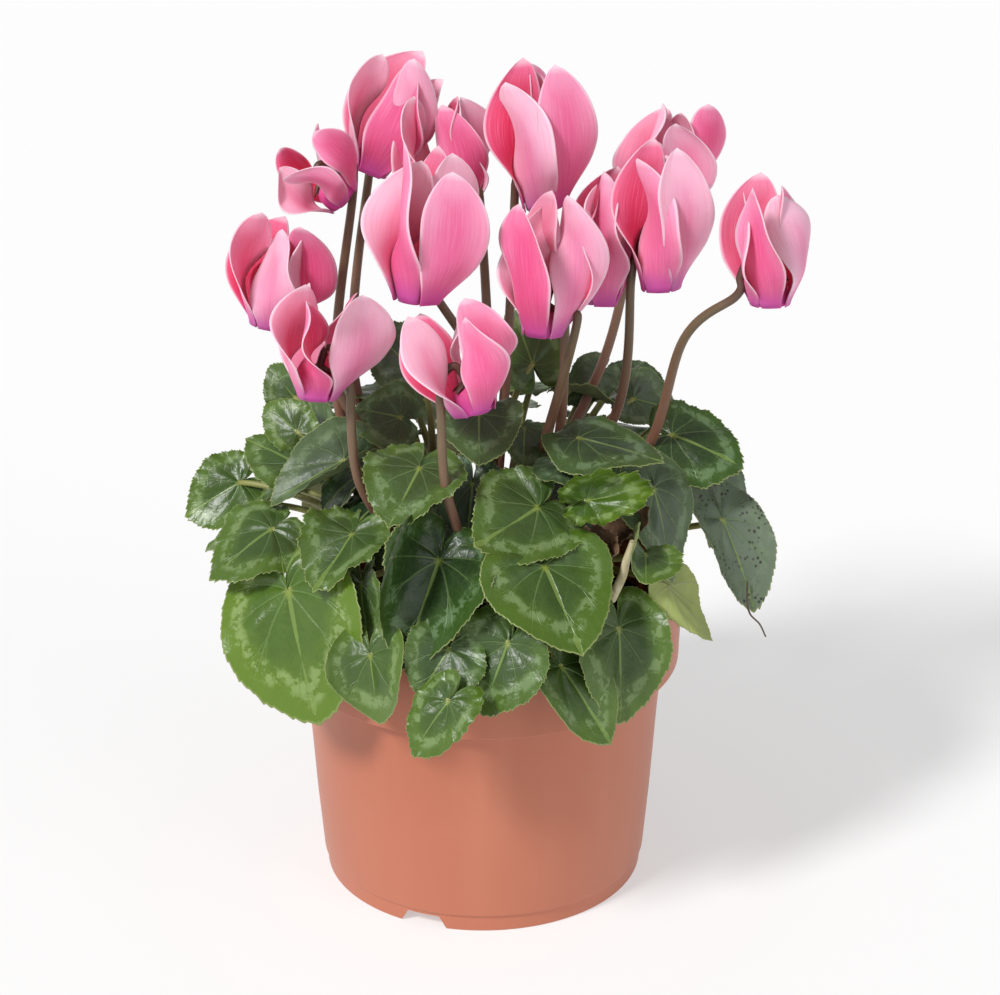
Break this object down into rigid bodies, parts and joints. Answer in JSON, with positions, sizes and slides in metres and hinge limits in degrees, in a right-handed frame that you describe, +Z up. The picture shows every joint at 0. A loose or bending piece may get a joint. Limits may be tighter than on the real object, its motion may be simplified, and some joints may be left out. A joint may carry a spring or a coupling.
{
  "type": "potted cyclamen",
  "caption": "Florist's cyclamen in a round nursery pot: nodding flowers with swept-back petals on bare stalks above a dome of heart-shaped leaves",
  "frame": {"origin": "centre of the pot's foot, on the surface the pot stands on", "axes": "+Z up along the pot's axis; -Y is the side shown to the viewer; +X to the viewer's right; metres"},
  "size_m": [0.2032, 0.1856, 0.2751],
  "materials": {
    "pot_plastic": "smooth satin thermoformed plastic, terracotta colour",
    "soil": "moist peat potting mix, crumbly and matte",
    "tuber_skin": "rough corky brown skin",
    "stalk": "smooth reddish-brown plant stem",
    "petal": "soft velvety pink petal with pale edge and magenta mouth",
    "leaf": "waxy dark green leaf with silvery marbling"
  },
  "bodies": {
    "root": {"pot": "pot_plastic", "pot_rim": "pot_plastic", "potting_soil": "soil", "tuber": "tuber_skin", "stalk_a": "stalk", "stalk_b": "stalk", "stalk_c": "stalk", "stalk_d": "stalk", "stalk_e": "stalk", "stalk_f": "stalk", "stalk_g": "stalk", "stalk_h": "stalk", "stalk_i": "stalk", "stalk_j": "stalk", "stalk_k": "stalk", "stalk_l": "stalk", "stalk_m": "stalk", "corolla_a": "petal", "corolla_b": "petal", "corolla_c": "petal", "corolla_d": "petal", "corolla_e": "petal", "corolla_f": "petal", "corolla_g": "petal", "corolla_h": "petal", "corolla_i": "petal", "corolla_j": "petal", "corolla_k": "petal", "corolla_l": "petal", "corolla_m": "petal", "leaf_01": "leaf", "leaf_02": "leaf", "leaf_03": "leaf", "leaf_04": "leaf", "leaf_05": "leaf", "leaf_06": "leaf", "leaf_07": "leaf", "leaf_08": "leaf", "leaf_09": "leaf", "leaf_10": "leaf", "leaf_11": "leaf", "leaf_12": "leaf", "leaf_13": "leaf", "leaf_14": "leaf", "leaf_15": "leaf", "leaf_16": "leaf", "leaf_17": "leaf", "leaf_18": "leaf", "leaf_19": "leaf", "leaf_20": "leaf", "leaf_21": "leaf", "leaf_22": "leaf", "leaf_23": "leaf", "leaf_24": "leaf", "leaf_25": "leaf", "leaf_26": "leaf", "leaf_27": "leaf", "leaf_28": "leaf", "leaf_29": "leaf", "leaf_30": "leaf"}
  },
  "joints": []
}
